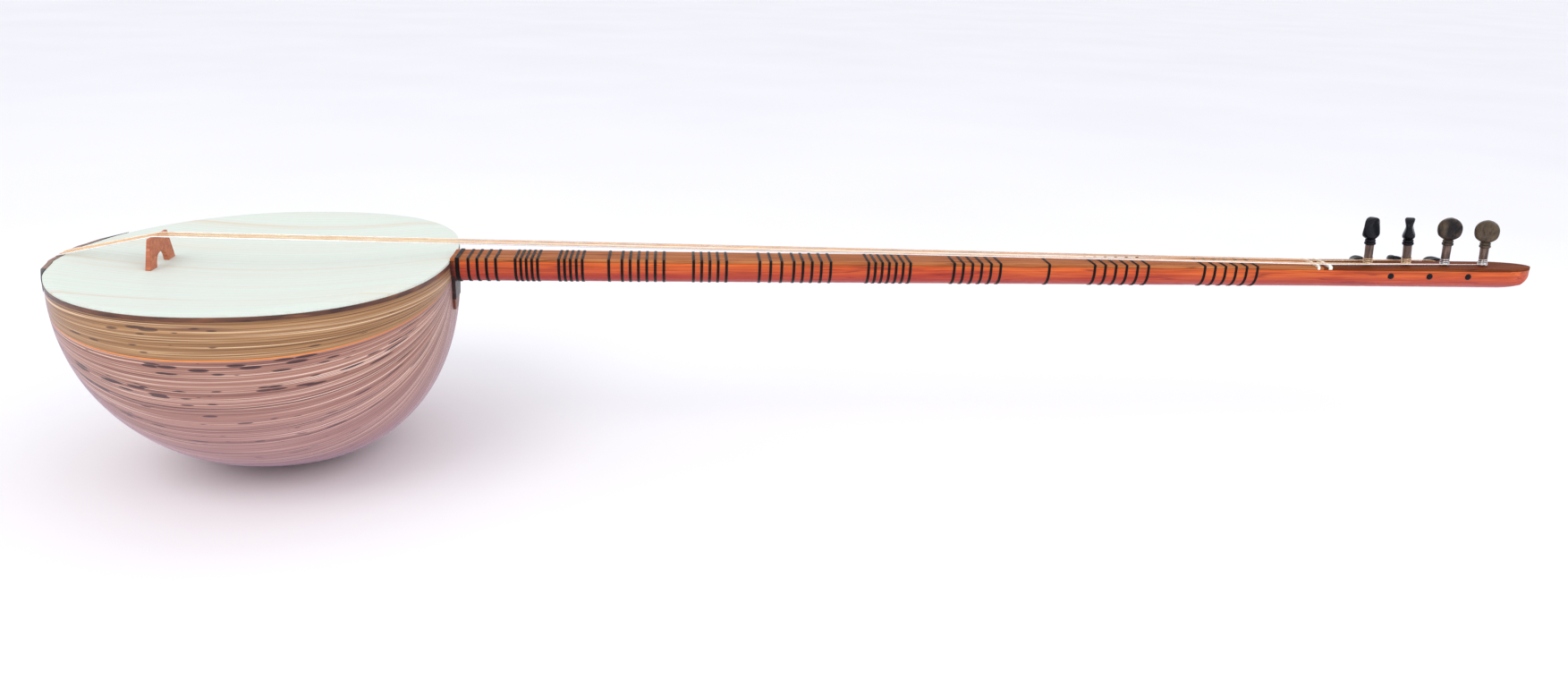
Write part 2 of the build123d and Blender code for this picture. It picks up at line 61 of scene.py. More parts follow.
# ties are placed in commas, 1/53 of an octave each, counted from a common zero. The ends of
# the runs fall between whole commas, and the ties of a run are evenly spaced
FRET_SCALE = 1020.0 * MM
FRET_ZERO_U = 765.1 * MM
COMMAS = 53
FRET_GUT_R = 0.29 * MM
ROOT_GUT_R = 0.44 * MM
ROOT_BAND_U = 0.6 * MM
TURNS_PER_TIE = 4
# node number, then runs of ties: first comma, last comma and how many
TIE_GROUPS = (
    (1, ((5.0, 9.0, 6), (13.5, 18.0, 6))),
    (2, ((22.0, 22.0, 1), (26.5, 31.0, 6), (35.5, 40.0, 7))),
    (3, ((44.3, 48.7, 5), (50.2, 53.0, 3), (57.4, 62.0, 5))),
    (4, ((66.4, 73.0, 6), (75.2, 75.2, 1), (79.8, 84.1, 5))),
    (5, ((88.2, 92.7, 5), (96.9, 103.2, 4))),
)


# ---- materials --------------------------------------------------------------------
def lin(r, g, b):
    """A colour given as 0 to 255 screen values, in linear light."""
    parts = [v / 255 for v in (r, g, b)]
    parts = [v / 12.92 if v <= 0.04045 else ((v + 0.055) / 1.055) ** 2.4 for v in parts]
    return (*parts, 1.0)


class Paint:
    """A material with a Principled shader and short names for the nodes that feed it."""

    def __init__(self, name, metal=0.0, coat=0.0, coat_rough=0.2, sheen=0.0,
                 sheen_tint=(1, 1, 1, 1), specular=0.5):
        self.material = bpy.data.materials.new(name)
        self.material.use_nodes = True
        self.tree = self.material.node_tree
        self.shader = self.tree.nodes["Principled BSDF"]
        self.set("Metallic", metal)
        self.set("Coat Weight", coat)
        self.set("Coat Roughness", coat_rough)
        self.set("Sheen Weight", sheen)
        self.set("Sheen Roughness", 0.35)
        self.set("Sheen Tint", sheen_tint)
        self.set("Specular IOR Level", specular)
        self.where = self.node("ShaderNodeTexCoord").outputs["Object"]

    def set(self, key, value):
        socket = self.shader.inputs[key]
        if isinstance(value, bpy.types.NodeSocket):
            self.tree.links.new(value, socket)
        else:
            socket.default_value = value

    def node(self, kind, inputs=None, **props):
        made = self.tree.nodes.new(kind)
        for key, value in props.items():
            setattr(made, key, value)
        for key, value in (inputs or {}).items():
            if isinstance(value, bpy.types.NodeSocket):
                self.tree.links.new(value, made.inputs[key])
            else:
                made.inputs[key].default_value = value
        return made

    def math(self, operation, a, b=0.0):
        return self.node("ShaderNodeMath", {0: a, 1: b}, operation=operation).outputs[0]

    def plus(self, a, b):
        return self.math("ADD", a, b)

    def minus(self, a, b):
        return self.math("SUBTRACT", a, b)

    def times(self, a, b):
        return self.math("MULTIPLY", a, b)

    def axes(self):
        parts = self.node("ShaderNodeSeparateXYZ", {0: self.where})
        return parts.outputs[0], parts.outputs[1], parts.outputs[2]

    def vector(self, x, y, z):
        return self.node("ShaderNodeCombineXYZ", {0: x, 1: y, 2: z}).outputs[0]

    def stretched(self, x, y, z, shift=(0.0, 0.0, 0.0)):
        """Object coordinates scaled by x, y and z: a small x draws the pattern out along the grain."""
        wanted = {"Vector": self.where, "Scale": (x, y, z), "Location": shift}
        return self.node("ShaderNodeMapping", wanted).outputs[0]

    def noise(self, vector, detail=3.0, rough=0.55, twist=0.0):
        wanted = {"Vector": vector, "Scale": 1.0, "Detail": detail, "Roughness": rough, "Distortion": twist}
        return self.node("ShaderNodeTexNoise", wanted).outputs[0]

    def cells(self, vector):
        """Distance to the nearest of scattered points, in the vector's first two directions."""
        wanted = {"Vector": vector, "Scale": 1.0}
        return self.node("ShaderNodeTexVoronoi", wanted, voronoi_dimensions="2D").outputs["Distance"]

    def steps(self, value, *stops):
        """A colour ramp: each stop is a place and a colour."""
        made = self.node("ShaderNodeValToRGB", {0: value})
        ramp = made.color_ramp
        while len(ramp.elements) < len(stops):
            ramp.elements.new(0.5)
        for element, (place, colour) in zip(ramp.elements, stops):
            element.position = place
            element.color = colour if hasattr(colour, "__len__") else (colour, colour, colour, 1)
        return made.outputs[0]

    def ranged(self, value, low, high, to_low=0.0, to_high=1.0):
        """value between low and high, carried over to between to_low and to_high and held there."""
        wanted = {0: value, 1: low, 2: high, 3: to_low, 4: to_high}
        return self.node("ShaderNodeMapRange", wanted, clamp=True).outputs[0]

    def line(self, value, place, half):
        """1 on a thin line where value is near place, falling to 0 within half."""
        away = self.math("ABSOLUTE", self.minus(value, place))
        return self.ranged(away, 0.0, half, 1.0, 0.0)

    def mix(self, share, a, b, mode="MIX"):
        made = self.node("ShaderNodeMix", {0: share, 6: a, 7: b}, data_type="RGBA", blend_type=mode)
        return made.outputs[2]

    def bump(self, height, distance, strength=1.0):
        made = self.node("ShaderNodeBump", {"Height": height, "Distance": distance, "Strength": strength})
        self.set("Normal", made.outputs[0])


LAVENDER = (0.62, 0.60, 1.0, 1)     # cool tint of the sheen, seen at grazing angles


def rib_paint(number):
    """Open-grained wood whose grain follows the rib and closes in towards both ends."""
    p = Paint(f"rib_wood_{number:02d}", coat=0.1, coat_rough=0.25, sheen=0.4, sheen_tint=LAVENDER,
              specular=0.3)
    p.set("Sheen Roughness", 0.2)
    x, y, z = p.axes()
    below = p.times(p.math("MAXIMUM", p.minus(AXIS_Z, z), 0.0), FLATTEN)
    above = p.math("DIVIDE", p.math("MAXIMUM", p.minus(z, AXIS_Z), 0.0), BOWL_R)
    round_angle = p.math("ARCTAN2", below, p.times(y, -1.0))
    angle = p.plus(round_angle, p.times(above, p.math("SIGN", y)))
    seed = number * 3.7
    sway = p.noise(p.vector(p.times(x, 7.0), angle, seed))
    grain = p.plus(angle, p.times(p.minus(sway, 0.5), 0.018))

    def along(per_x, per_angle, offset=0.0):
        return p.vector(p.times(x, per_x), p.times(grain, per_angle), seed + offset)

    broad = p.noise(along(1.6, 10.0), detail=2.0)
    bands = p.noise(along(5.0, 46.0, 1.3), detail=5.0, rough=0.68)
    lines = p.noise(along(3.5, 165.0, 6.0), detail=2.0, rough=0.5)
    fine = p.noise(along(16.0, 420.0, 2.1), detail=3.0, rough=0.7)
    pores = p.noise(along(260.0, 1500.0, 4.4), detail=2.0)
    top = number in (1, RIB_COUNT)
    if top:
        dark, mid, pale = lin(130, 92, 60), lin(170, 126, 84), lin(196, 154, 110)
        bright, deep = lin(240, 206, 168), lin(88, 54, 38)
    else:
        dark, mid, pale = lin(140, 96, 84), lin(172, 124, 108), lin(196, 150, 134)
        bright, deep = lin(240, 206, 190), lin(92, 54, 58)
    colour = p.steps(bands, (0.3, dark), (0.5, mid), (0.7, pale))
    shade = p.steps(broad, (0.3, 0.88), (0.7, 1.02))
    colour = p.mix(0.8, colour, shade, "MULTIPLY")
    colour = p.mix(p.ranged(fine, 0.42, 0.66, 0.0, 0.65), colour, dark)
    # pale lines of grain, broken along their length, and dark ones between them
    broken = p.ranged(p.noise(along(7.0, 60.0, 7.0)), 0.36, 0.56)
    pale_lines = p.times(p.ranged(lines, 0.55, 0.62), broken)
    colour = p.mix(p.times(pale_lines, 0.95), colour, bright)
    dark_lines = p.ranged(lines, 0.43, 0.33)
    colour = p.mix(p.times(dark_lines, 0.8), colour, deep)
    vein = p.line(p.noise(along(1.5, 17.0, 9.0), detail=1.0), 0.47, 0.012)
    colour = p.mix(p.times(vein, 0.55), colour, lin(84, 52, 60))
    # short dark flecks, thickest below the first seam
    spots = p.cells(p.vector(p.times(x, 44.0), p.times(grain, 40.0), 0.0))
    if top:
        chance = (0.60, 0.74)
    else:
        chance = (0.50, 0.66) if number in FLECKED_RIBS else (0.56, 0.72)
    size = p.ranged(p.noise(along(11.0, 22.0, 12.0), detail=1.0), *chance, 0.0, 0.36)
    fleck = p.ranged(p.minus(size, spots), 0.0, 0.07)
    share = 0.7 if top else 0.85
    colour = p.mix(p.times(fleck, share), colour, lin(46, 24, 38))
    # painted reflected light from the pale floor: paler and cooler towards the bottom of the bowl
    colour = p.mix(p.ranged(z, 0.01, 0.12, 0.34, 0.0), colour, lin(206, 168, 186))
    p.set("Base Color", colour)
    p.set("Roughness", p.ranged(bands, 0.3, 0.7, 0.5, 0.36))
    height = p.plus(p.times(fine, 0.6), p.times(pores, 0.5))
    p.bump(p.minus(height, p.times(fleck, 0.5)), 0.00018, 0.55)
    return p.material


def seam_paint(name, main, dull, fade_x):
    """A thin strip let in between two ribs, dulling from fade_x to the neck."""
    p = Paint(name, coat=0.25, coat_rough=0.25)
    x, y, z = p.axes()
    specks = p.noise(p.stretched(60, 400, 400), detail=3.0)
    colour = p.mix(p.ranged(specks, 0.35, 0.7, 0.0, 0.4), main, dull)
    colour = p.mix(p.ranged(x, fade_x, 0.15, 0.0, 0.75), colour, dull)
    p.set("Base Color", colour)
    p.set("Roughness", p.ranged(specks, 0.3, 0.7, 0.35, 0.5))
    p.bump(specks, 0.0001, 0.4)
    return p.material


# warm streaks of the board: place across it, half width in metres, strength
STREAKS = ((-0.116, 0.0016, 0.55), (-0.1145, 0.006, 0.2), (0.128, 0.002, 0.5), (0.125, 0.008, 0.2),
           (-0.006, 0.0045, 0.22), (-0.024, 0.006, 0.16), (-0.062, 0.004, 0.12), (0.052, 0.005, 0.14))


def board_paint():
    """Pale close-grained softwood, left matt, with a few warmer streaks of grain."""
    p = Paint("spruce", specular=0.3, sheen=0.05, sheen_tint=(0.9, 1.0, 0.95, 1))
    x, y, z = p.axes()
    sway = p.times(p.minus(p.noise(p.stretched(4, 6, 0), detail=1.0), 0.5), 0.012)
    across = p.plus(y, sway)

    def along(per_x, per_y, offset=0.0):
        return p.vector(p.times(x, per_x), p.times(across, per_y), offset)

    rings = p.noise(along(1.2, 420.0), detail=2.0)
    tone = p.noise(along(2.0, 26.0, 3.0), detail=2.0)
    silk = p.noise(along(160.0, 60.0, 5.0), detail=2.0)
    colour = p.steps(rings, (0.3, lin(207, 214, 202)), (0.5, lin(214, 222, 213)), (0.7, lin(218, 226, 218)))
    colour = p.mix(p.ranged(tone, 0.5, 0.75, 0.0, 0.30), colour, lin(218, 208, 186))
    colour = p.mix(p.ranged(silk, 0.45, 0.7, 0.0, 0.12), colour, lin(226, 231, 227))
    for place, half, strength in STREAKS:
        streak = p.line(across, place, half)
        fade = p.ranged(p.noise(along(6.0, 3.0, place * 90)), 0.3, 0.55)
        share = p.times(p.times(streak, fade), strength)
        colour = p.mix(share, colour, lin(216, 176, 138))
    p.set("Base Color", colour)
    p.set("Roughness", p.ranged(rings, 0.3, 0.7, 0.62, 0.5))
    p.bump(p.plus(rings, p.times(silk, 0.4)), 0.00006, 0.5)
    return p.material


def wood_paint(name, dark, mid, pale, coat=0.0, rough=0.4, low=None, streak=None, specular=0.25):
    """Close-grained hardwood with its grain along X. low is a purple red painted on the lower part of the
    neck's sides as shade and cool reflected light; with it the root of the neck is also darkened, partly as
    painted shade.
    """
    p = Paint(name, coat=coat, coat_rough=0.14, specular=specular)
    x, y, z = p.axes()
    wave = p.noise(p.stretched(9, 40, 40), detail=1.5)
    bands = p.noise(p.stretched(11, 260, 260, (0.3, 0.7, 0.1)), detail=5.0, rough=0.68, twist=0.3)
    lines = p.noise(p.stretched(16, 900, 900), detail=3.0, rough=0.65)
    pores = p.noise(p.stretched(220, 2600, 2600), detail=2.0)
    colour = p.steps(bands, (0.3, dark), (0.5, mid), (0.7, pale))
    colour = p.mix(p.ranged(lines, 0.42, 0.66, 0.0, 0.55), colour, dark)
    colour = p.mix(p.ranged(wave, 0.3, 0.7, 0.0, 0.35), colour, pale)
    if streak:
        thin = p.line(p.noise(p.stretched(6, 190, 190, (2.0, 0.0, 0.0)), detail=1.5), 0.5, 0.02)
        colour = p.mix(p.times(thin, 0.65), colour, streak)
    if low:
        level = p.plus(z, p.times(p.minus(x, NECK_X), NECK_SLOPE))
        drop = p.minus(level, NECK_Z)
        # painted shade and cool reflected light: the lower part of the sides turns towards low
        colour = p.mix(p.ranged(drop, -0.019, -0.003, 0.85, 0.0), colour, low)
        # darkens nearly to black at the root, where the neck meets the bowl: partly dark stain, partly
        # painted shade in the joint
        colour = p.mix(p.ranged(x, 0.1535, 0.158, 0.85, 0.0), colour, lin(34, 16, 14))
    p.set("Base Color", colour)
    p.set("Roughness", p.ranged(lines, 0.3, 0.7, rough, rough + 0.14))
    p.bump(p.plus(lines, p.times(pores, 0.6)), 0.00008, 0.4)
    return p.material


def rim_paint():
    p = Paint("edge_wood", coat=0.1, coat_rough=0.2, sheen=0.05, sheen_tint=LAVENDER, specular=0.3)
    patch = p.noise(p.stretched(24, 24, 160), detail=3.0)
    fine = p.noise(p.stretched(90, 90, 1400), detail=3.0)
    colour = p.steps(patch, (0.34, lin(34, 18, 18)), (0.46, lin(88, 54, 42)), (0.6, lin(112, 70, 50)),
                     (0.74, lin(150, 92, 54)))
    colour = p.mix(p.ranged(fine, 0.4, 0.7, 0.0, 0.45), colour, lin(48, 28, 26))
    p.set("Base Color", colour)
    p.set("Roughness", p.ranged(fine, 0.3, 0.7, 0.34, 0.5))
    p.bump(fine, 0.0001, 0.4)
    return p.material


def ebony_paint(name="ebony", tint=(4, 6, 14), warm=(24, 24, 32), share=0.4):
    """Dark polished wood with faint brown figure and patches of worn polish."""
    p = Paint(name, coat=0.06, coat_rough=0.08, specular=0.16)
    figure = p.noise(p.stretched(90, 90, 30), detail=4.0, rough=0.6, twist=0.6)
    pores = p.noise(p.stretched(1500, 1500, 260), detail=2.0)
    worn = p.noise(p.stretched(240, 240, 240), detail=2.0)
    colour = p.mix(p.ranged(figure, 0.42, 0.72, 0.0, share), lin(*tint), lin(*warm))
    colour = p.mix(p.ranged(pores, 0.58, 0.7, 0.0, 0.6), colour, lin(10, 9, 12))
    p.set("Base Color", colour)
    p.set("Roughness", p.ranged(worn, 0.3, 0.7, 0.24, 0.42))
    p.bump(p.plus(pores, p.times(worn, 0.5)), 0.00006, 0.35)
    return p.material


def shank_paint():
    p = Paint("peg_shank", coat=0.05, coat_rough=0.3, specular=0.3)
    grain = p.noise(p.stretched(500, 500, 60), detail=3.0)
    turned = p.noise(p.stretched(30, 30, 2200), detail=2.0)
    colour = p.steps(grain, (0.3, lin(54, 40, 36)), (0.5, lin(98, 78, 68)), (0.72, lin(140, 116, 102)))
    p.set("Base Color", p.mix(p.ranged(turned, 0.4, 0.7, 0.0, 0.35), colour, lin(70, 56, 56)))
    p.set("Roughness", p.ranged(grain, 0.3, 0.7, 0.36, 0.52))
    p.bump(turned, 0.00006, 0.4)
    return p.material


def gut_paint():
    """Black dyed gut, wound tight and slightly waxy."""
    p = Paint("fret_gut", coat=0.05, coat_rough=0.3, specular=0.15)
    fibre = p.noise(p.stretched(2600, 500, 500), detail=3.0)
    scuff = p.noise(p.stretched(300, 160, 160), detail=2.0)
    colour = p.mix(p.ranged(scuff, 0.5, 0.75, 0.0, 0.45), lin(8, 7, 10), lin(36, 28, 30))
    p.set("Base Color", p.mix(p.ranged(fibre, 0.5, 0.75, 0.0, 0.3), colour, lin(22, 18, 20)))
    p.set("Roughness", p.ranged(scuff, 0.3, 0.7, 0.34, 0.55))
    p.bump(fibre, 0.00005, 0.5)
    return p.material


def bone_paint():
    p = Paint("bone", coat=0.2, coat_rough=0.2, sheen=0.05)
    p.set("Subsurface Weight", 0.12)
    p.set("Subsurface Radius", (0.0009, 0.0007, 0.0005))
    clouds = p.noise(p.stretched(160, 60, 160), detail=3.0)
    pores = p.noise(p.stretched(900, 240, 900), detail=2.0)
    colour = p.steps(clouds, (0.3, lin(222, 222, 206)), (0.6, lin(241, 244, 234)))
    p.set("Base Color", p.mix(p.ranged(pores, 0.6, 0.72, 0.0, 0.4), colour, lin(196, 184, 160)))
    p.set("Roughness", p.ranged(clouds, 0.3, 0.7, 0.3, 0.45))
    p.bump(pores, 0.00004, 0.4)
    return p.material


def metal_paint(name, main, dull, wound):
    """Drawn wire: fine turns of cover on a wound string, draw marks on a plain one."""
    p = Paint(name, metal=1.0)
    marks = p.noise(p.stretched(120, 900, 900), detail=2.0)
    p.set("Base Color", p.mix(p.ranged(marks, 0.35, 0.7, 0.0, 0.5), main, dull))
    p.set("Roughness", p.ranged(marks, 0.3, 0.7, 0.2, 0.36))
    if wound:
        x, y, z = p.axes()
        turns = p.math("SINE", p.times(x, 2 * pi / (0.22 * MM)))
        p.bump(turns, 0.00003, 0.6)
    else:
        p.bump(marks, 0.00002, 0.5)
    return p.material


def stage_paint():
    p = Paint("floor_paper", specular=0.1)
    soft = p.noise(p.stretched(1.5, 1.5, 1.5), detail=2.0)
    p.set("Base Color", p.steps(soft, (0.3, (0.90, 0.90, 0.93, 1)), (0.7, (0.93, 0.93, 0.96, 1))))
    p.set("Roughness", 0.8)
    return p.material


RIBS = {i: rib_paint(i) for i in range(1, RIB_COUNT + 1)}
STRINGING = seam_paint("pale_stringing", lin(230, 140, 58), lin(196, 108, 76), 0.05)
GLUE = seam_paint("glue_line", lin(74, 42, 42), lin(46, 28, 32), 0.2)
SPRUCE = board_paint()
EDGE = rim_paint()
INNER = wood_paint("inner_wood", lin(150, 118, 84), lin(188, 156, 118), lin(210, 182, 144), rough=0.6)
# low on the neck is a purple red painted on its lower sides as shade and cool reflected light
NECK_WOOD = wood_paint("neck_wood", lin(126, 34, 12), lin(208, 84, 26), lin(236, 124, 48),
                       coat=0.12, rough=0.3, low=lin(158, 32, 46), streak=lin(92, 24, 14))
BOARD_WOOD = wood_paint("fingerboard_wood", lin(124, 64, 30), lin(174, 102, 56), lin(204, 132, 82),
                        rough=0.55, streak=lin(92, 46, 28), specular=0.12)
PLATE_WOOD = wood_paint("head_plate_wood", lin(74, 28, 10), lin(112, 52, 24), lin(138, 72, 36),
                        rough=0.6, streak=lin(62, 26, 14), specular=0.08)
BRIDGE_WOOD = wood_paint("bridge_wood", lin(140, 72, 50), lin(186, 106, 76), lin(214, 140, 106), rough=0.5)
TAIL_WOOD = wood_paint("tail_wood", lin(84, 56, 42), lin(126, 90, 72), lin(160, 122, 100),
                       coat=0.1, rough=0.36)
HEEL_WOOD = wood_paint("heel_wood", lin(16, 12, 16), lin(46, 28, 26), lin(72, 48, 44),
                       coat=0.1, rough=0.35)
HEEL_TIP_WOOD = wood_paint("heel_tip_wood", lin(58, 24, 18), lin(104, 50, 36), lin(136, 74, 52),
                           coat=0.1, rough=0.36)
EBONY = ebony_paint()
EBONY_WARM = ebony_paint("ebony_warm", (30, 26, 28), (112, 94, 74), 0.8)
SHANK = shank_paint()
GUT = gut_paint()
BONE = bone_paint()
BRONZE = metal_paint("string_bronze", lin(250, 214, 172), lin(214, 158, 112), True)
STEEL = metal_paint("string_steel", lin(246, 244, 244), lin(214, 208, 206), False)
BRASS = metal_paint("pin_brass", lin(214, 170, 96), lin(150, 108, 56), False)
FLOOR = stage_paint()


def paint(material, *nodes):
    """Gives CAD nodes that are shown as they are a finished material."""
    for name in nodes:
        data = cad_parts[name].data
        data.materials.clear()
        data.materials.append(material)


for number, material in RIBS.items():
    paint(material, f"rib_{number:02d}")
paint(STRINGING, "light_seam_near", "light_seam_far")
paint(GLUE, "dark_seams")
paint(SPRUCE, "soundboard_near", "soundboard_far")
paint(EDGE, "rim_band")
paint(INNER, "rim_lining", "neck_block", "tail_block")


# ---- mesh helpers -----------------------------------------------------------------
def finished(name, mesh, materials, body, stands_for=()):
    """A shown piece, on its body, with its finish and the CAD nodes that it stands for."""
    for material in materials:
        mesh.materials.append(material)
    piece = bpy.data.objects.new(name, mesh)
    bpy.context.scene.collection.objects.link(piece)
    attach(piece, body)
    if stands_for:
        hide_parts(*stands_for)
    return piece


def smooth(mesh, degrees=40):
    for face in mesh.polygons:
        face.use_smooth = True
    mesh.set_sharp_from_angle(angle=radians(degrees))


WELD = 0.002 * MM                   # points closer than this are one
SHARP_DEG = 32                      # edges that turn by more than this are eased
FLAT_DEG = 0.6                      # faces that turn by less than this are joined


def eased(node, width, material, body="body"):
    """A copy of a CAD node's mesh with its sharp edges taken off."""
    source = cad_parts[node].data
    bm = bmesh.new()
    verts = [bm.verts.new(v.co) for v in source.vertices]
    for face in source.polygons:
        corners = [verts[i] for i in face.vertices]
        if bm.faces.get(corners) is None:
            bm.faces.new(corners)
    bmesh.ops.remove_doubles(bm, verts=bm.verts, dist=WELD)
    bmesh.ops.dissolve_degenerate(bm, dist=WELD, edges=bm.edges)
    bmesh.ops.dissolve_limit(bm, angle_limit=radians(FLAT_DEG), verts=bm.verts, edges=bm.edges)
    sharp = [e for e in bm.edges if e.is_manifold and e.calc_face_angle(0.0) > radians(SHARP_DEG)]
    bmesh.ops.bevel(bm, geom=sharp, offset=width, offset_type="OFFSET", segments=3, profile=0.5,
                    affect="EDGES", clamp_overlap=True)
    mesh = bpy.data.meshes.new(f"{node}_eased")
    bm.to_mesh(mesh)
    bm.free()
    smooth(mesh, 50)
    piece = finished(f"{node}_finished", mesh, [material], body, [node])
    weighted = piece.modifiers.new("weighted_normals", "WEIGHTED_NORMAL")
    weighted.keep_sharp = True
    return piece


class Build:
    """Collects rings and tubes into one mesh."""

    def __init__(self):
        self.points, self.faces, self.marks = [], [], []

    def skin(self, rings, mark=0, loop=False, caps=False):
        """Joins rings of equally many points with quads."""
        start, count = len(self.points), len(rings[0])
        for one in rings:
            self.points.extend(one)
        total = len(rings)
        for i in range(total if loop else total - 1):
            a, b = start + i * count, start + (i + 1) % total * count
            for j in range(count):
                k = (j + 1) % count
                self.faces.append((a + j, a + k, b + k, b + j))
                self.marks.append(mark)
        if caps:
            last = start + (total - 1) * count
            self.faces.append(tuple(reversed(range(start, start + count))))
            self.faces.append(tuple(range(last, last + count)))
            self.marks += [mark, mark]

    def tube(self, path, radius, sides=6, loop=False):
        """A round tube along path, its frame carried without twist. radius may be a list."""
        path = [Vector(p) for p in path]
        total = len(path)
        rings = []
        normal = None
        for i, here in enumerate(path):
            ahead = path[(i + 1) % total] if loop or i + 1 < total else here
            behind = path[i - 1] if loop or i else here
            way = (ahead - behind).normalized()
            if normal is None:
                normal = way.orthogonal().normalized()
            normal = (normal - way * normal.dot(way)).normalized()
            other = way.cross(normal)
            size = radius[i] if hasattr(radius, "__len__") else radius
            rings.append([here + size * (cos(2 * pi * k / sides) * normal + sin(2 * pi * k / sides) * other)
                          for k in range(sides)])
        self.skin(rings, loop=loop, caps=not loop)

    def mesh(self, name, matrix=None, sharp=40):
        made = bpy.data.meshes.new(name)
        made.from_pydata(self.points, [], self.faces)
        made.polygons.foreach_set("material_index", self.marks)
        bm = bmesh.new()
        bm.from_mesh(made)
        bmesh.ops.remove_doubles(bm, verts=bm.verts, dist=0.001 * MM)
        bmesh.ops.recalc_face_normals(bm, faces=bm.faces)
        bm.to_mesh(made)
        bm.free()
        if matrix:
            made.transform(matrix)
        smooth(made, sharp)
        return made


# ---- neck section ------------------------------------------------------------------
def section_size(u):
    """Half width and depth of the neck at u."""
    share = min(max(u / NUT_U, -1.0), 1.0)
    return (16.5 - 1.9 * share) * MM, (22.9 - 2.5 * share) * MM


def outline(u, grow):
    """Points round the neck at u, set out by grow, with the top corners rounded."""
    half, depth = section_size(u)
    side = 0.3 * depth
    inner = half - CORNER_R
    turn = CORNER_R + grow
    corner = [pi / 2 * k / 5 for k in range(6)]
    back = [pi * k / 18 for k in range(19)]
    points = [(inner + turn * sin(a), -CORNER_R + turn * cos(a)) for a in corner]
    points += [((half + grow) * cos(a), -side - (depth - side + grow) * sin(a)) for a in back]
    points += [(-inner - turn * cos(a), -CORNER_R + turn * sin(a)) for a in corner]
    return [(u, y, w) for y, w in points]


# ---- fret ties ----------------------------------------------------------------------
def tie(build, u, radius, knot):
    """Gut wound side by side round the neck, with its knot on the far edge."""
    pitch = 2 * radius * 0.97
    for i in range(TURNS_PER_TIE):
        place = u + (i - (TURNS_PER_TIE - 1) / 2) * pitch
        build.tube(outline(place, radius), radius, loop=True)
    if knot:
        half, depth = section_size(u)
        y, w = half + 2.2 * radius, -0.16 * depth
        build.tube([(u - 1.5 * radius, y, w + 4 * radius), (u + radius, y + radius, w + 2 * radius),
                    (u + 2 * radius, y + radius, w - radius), (u - radius, y + 0.6 * radius, w - 2 * radius),
                    (u - 2 * radius, y + radius, w), (u + 1.2 * radius, y, w + 3 * radius)],
                   [radius, radius * 1.1, radius * 1.2, radius * 1.2, radius, radius * 0.8])


for number, groups in TIE_GROUPS:
    build = Build()
    for first, last, count in groups:
        step = (last - first) / max(count - 1, 1)
        for i in range(count):
            comma = first + i * step
            tie(build, FRET_ZERO_U - FRET_SCALE * (1 - 2 ** (-comma / COMMAS)), FRET_GUT_R, True)
    node = f"fret_ties_{number}"
    finished(f"{node}_wound", build.mesh(node, NECK), [GUT], "body", [node])

build = Build()
tie(build, ROOT_BAND_U, ROOT_GUT_R, False)
finished("root_band_wound", build.mesh("root_band", NECK), [GUT], "body", ["root_band"])


# ---- pegs ----------------------------------------------------------------------------
def smooth_through(places, t):
    """A smooth curve through (t, value) places."""
    spots = [places[0], *places, places[-1]]
    for i in range(1, len(spots) - 2):
        (t0, v0), (t1, v1) = spots[i], spots[i + 1]
        if t <= t1:
            s = (t - t0) / (t1 - t0)
            before = (v1 - spots[i - 1][1]) / max(t1 - spots[i - 1][0], 0.001) * (t1 - t0)
            after = (spots[i + 2][1] - v0) / max(spots[i + 2][0] - t0, 0.001) * (t1 - t0)
            return ((2 * s ** 3 - 3 * s ** 2 + 1) * v0 + (s ** 3 - 2 * s ** 2 + s) * before
                    + (3 * s ** 2 - 2 * s ** 3) * v1 + (s ** 3 - s ** 2) * after)
    return places[-1][1]


# in millimetres; the head's half thickness and half width are given against its share of height
COLLAR, HEAD_HEIGHT, HEAD_HALF = 5.0, 20.0, 10.2
COLLAR_PROFILE = ((3.7, -0.1), (4.3, 0.0), (4.75, 0.4), (4.9, 1.1), (4.8, 1.9), (4.35, 2.35),
                  (3.95, 2.5), (4.25, 2.7), (4.55, 3.3), (4.5, 4.1), (4.1, 4.6), (3.8, 5.0))
SHANK_TIP_R, SHANK_FACE_R, SHANK_TOP_R = 2.75, 3.5, 3.7
AROUND = 40                         # points round a peg
HEAD_ROWS = 30
WARM_PEGS = (1, 2)                  # heads with the most brown in them
HALF_THICK = ((0.0, 3.8), (0.15, 5.4), (0.36, 4.2), (0.62, 3.0), (0.9, 4.1), (1.0, 4.1))
HALF_WIDE = ((0.0, 3.8), (0.08, 6.4), (0.18, 8.6), (0.34, 9.9), (0.5, 10.2))


